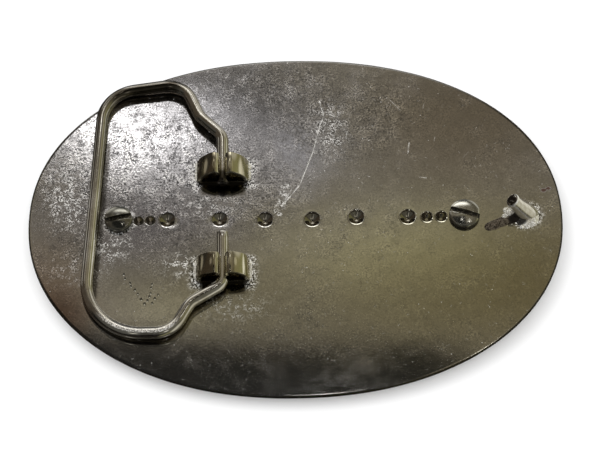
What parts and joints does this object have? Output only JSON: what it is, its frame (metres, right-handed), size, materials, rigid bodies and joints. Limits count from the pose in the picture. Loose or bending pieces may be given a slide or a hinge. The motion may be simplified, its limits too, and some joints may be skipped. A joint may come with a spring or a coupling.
{
  "type": "western belt buckle",
  "caption": "Oval western belt buckle seen from its back: a curved plate with two rolled clips, a swinging wire bail, a leaning hook and slotted screws.",
  "frame": {"origin": "under the middle of the plate, at the height of the front's lowest line, with the buckle lying on its front", "axes": "+X along the oval towards the hook, +Y across it towards the upper clip of the picture, +Z out of the back"},
  "size_m": [0.0888, 0.0636, 0.0077],
  "materials": {
    "plate_metal": "worn white-metal plating with olive tarnish, pits and scratches; bright solder round the clips and the hook",
    "bright_wire": "polished plated wire",
    "screw_steel": "polished plated screw heads, a little darkened"
  },
  "bodies": {
    "plate": {"back_plate": "plate_metal", "screw_left": "screw_steel", "screw_right": "screw_steel"},
    "bail": {"bail": "bright_wire"}
  },
  "joints": [
    {"name": "bail_hinge", "type": "hinge", "parent": "plate", "child": "bail", "pos_m": [-0.0122, 0, 0.00435], "axis": [0, 1, 0], "range_deg": [0, 180]}
  ]
}
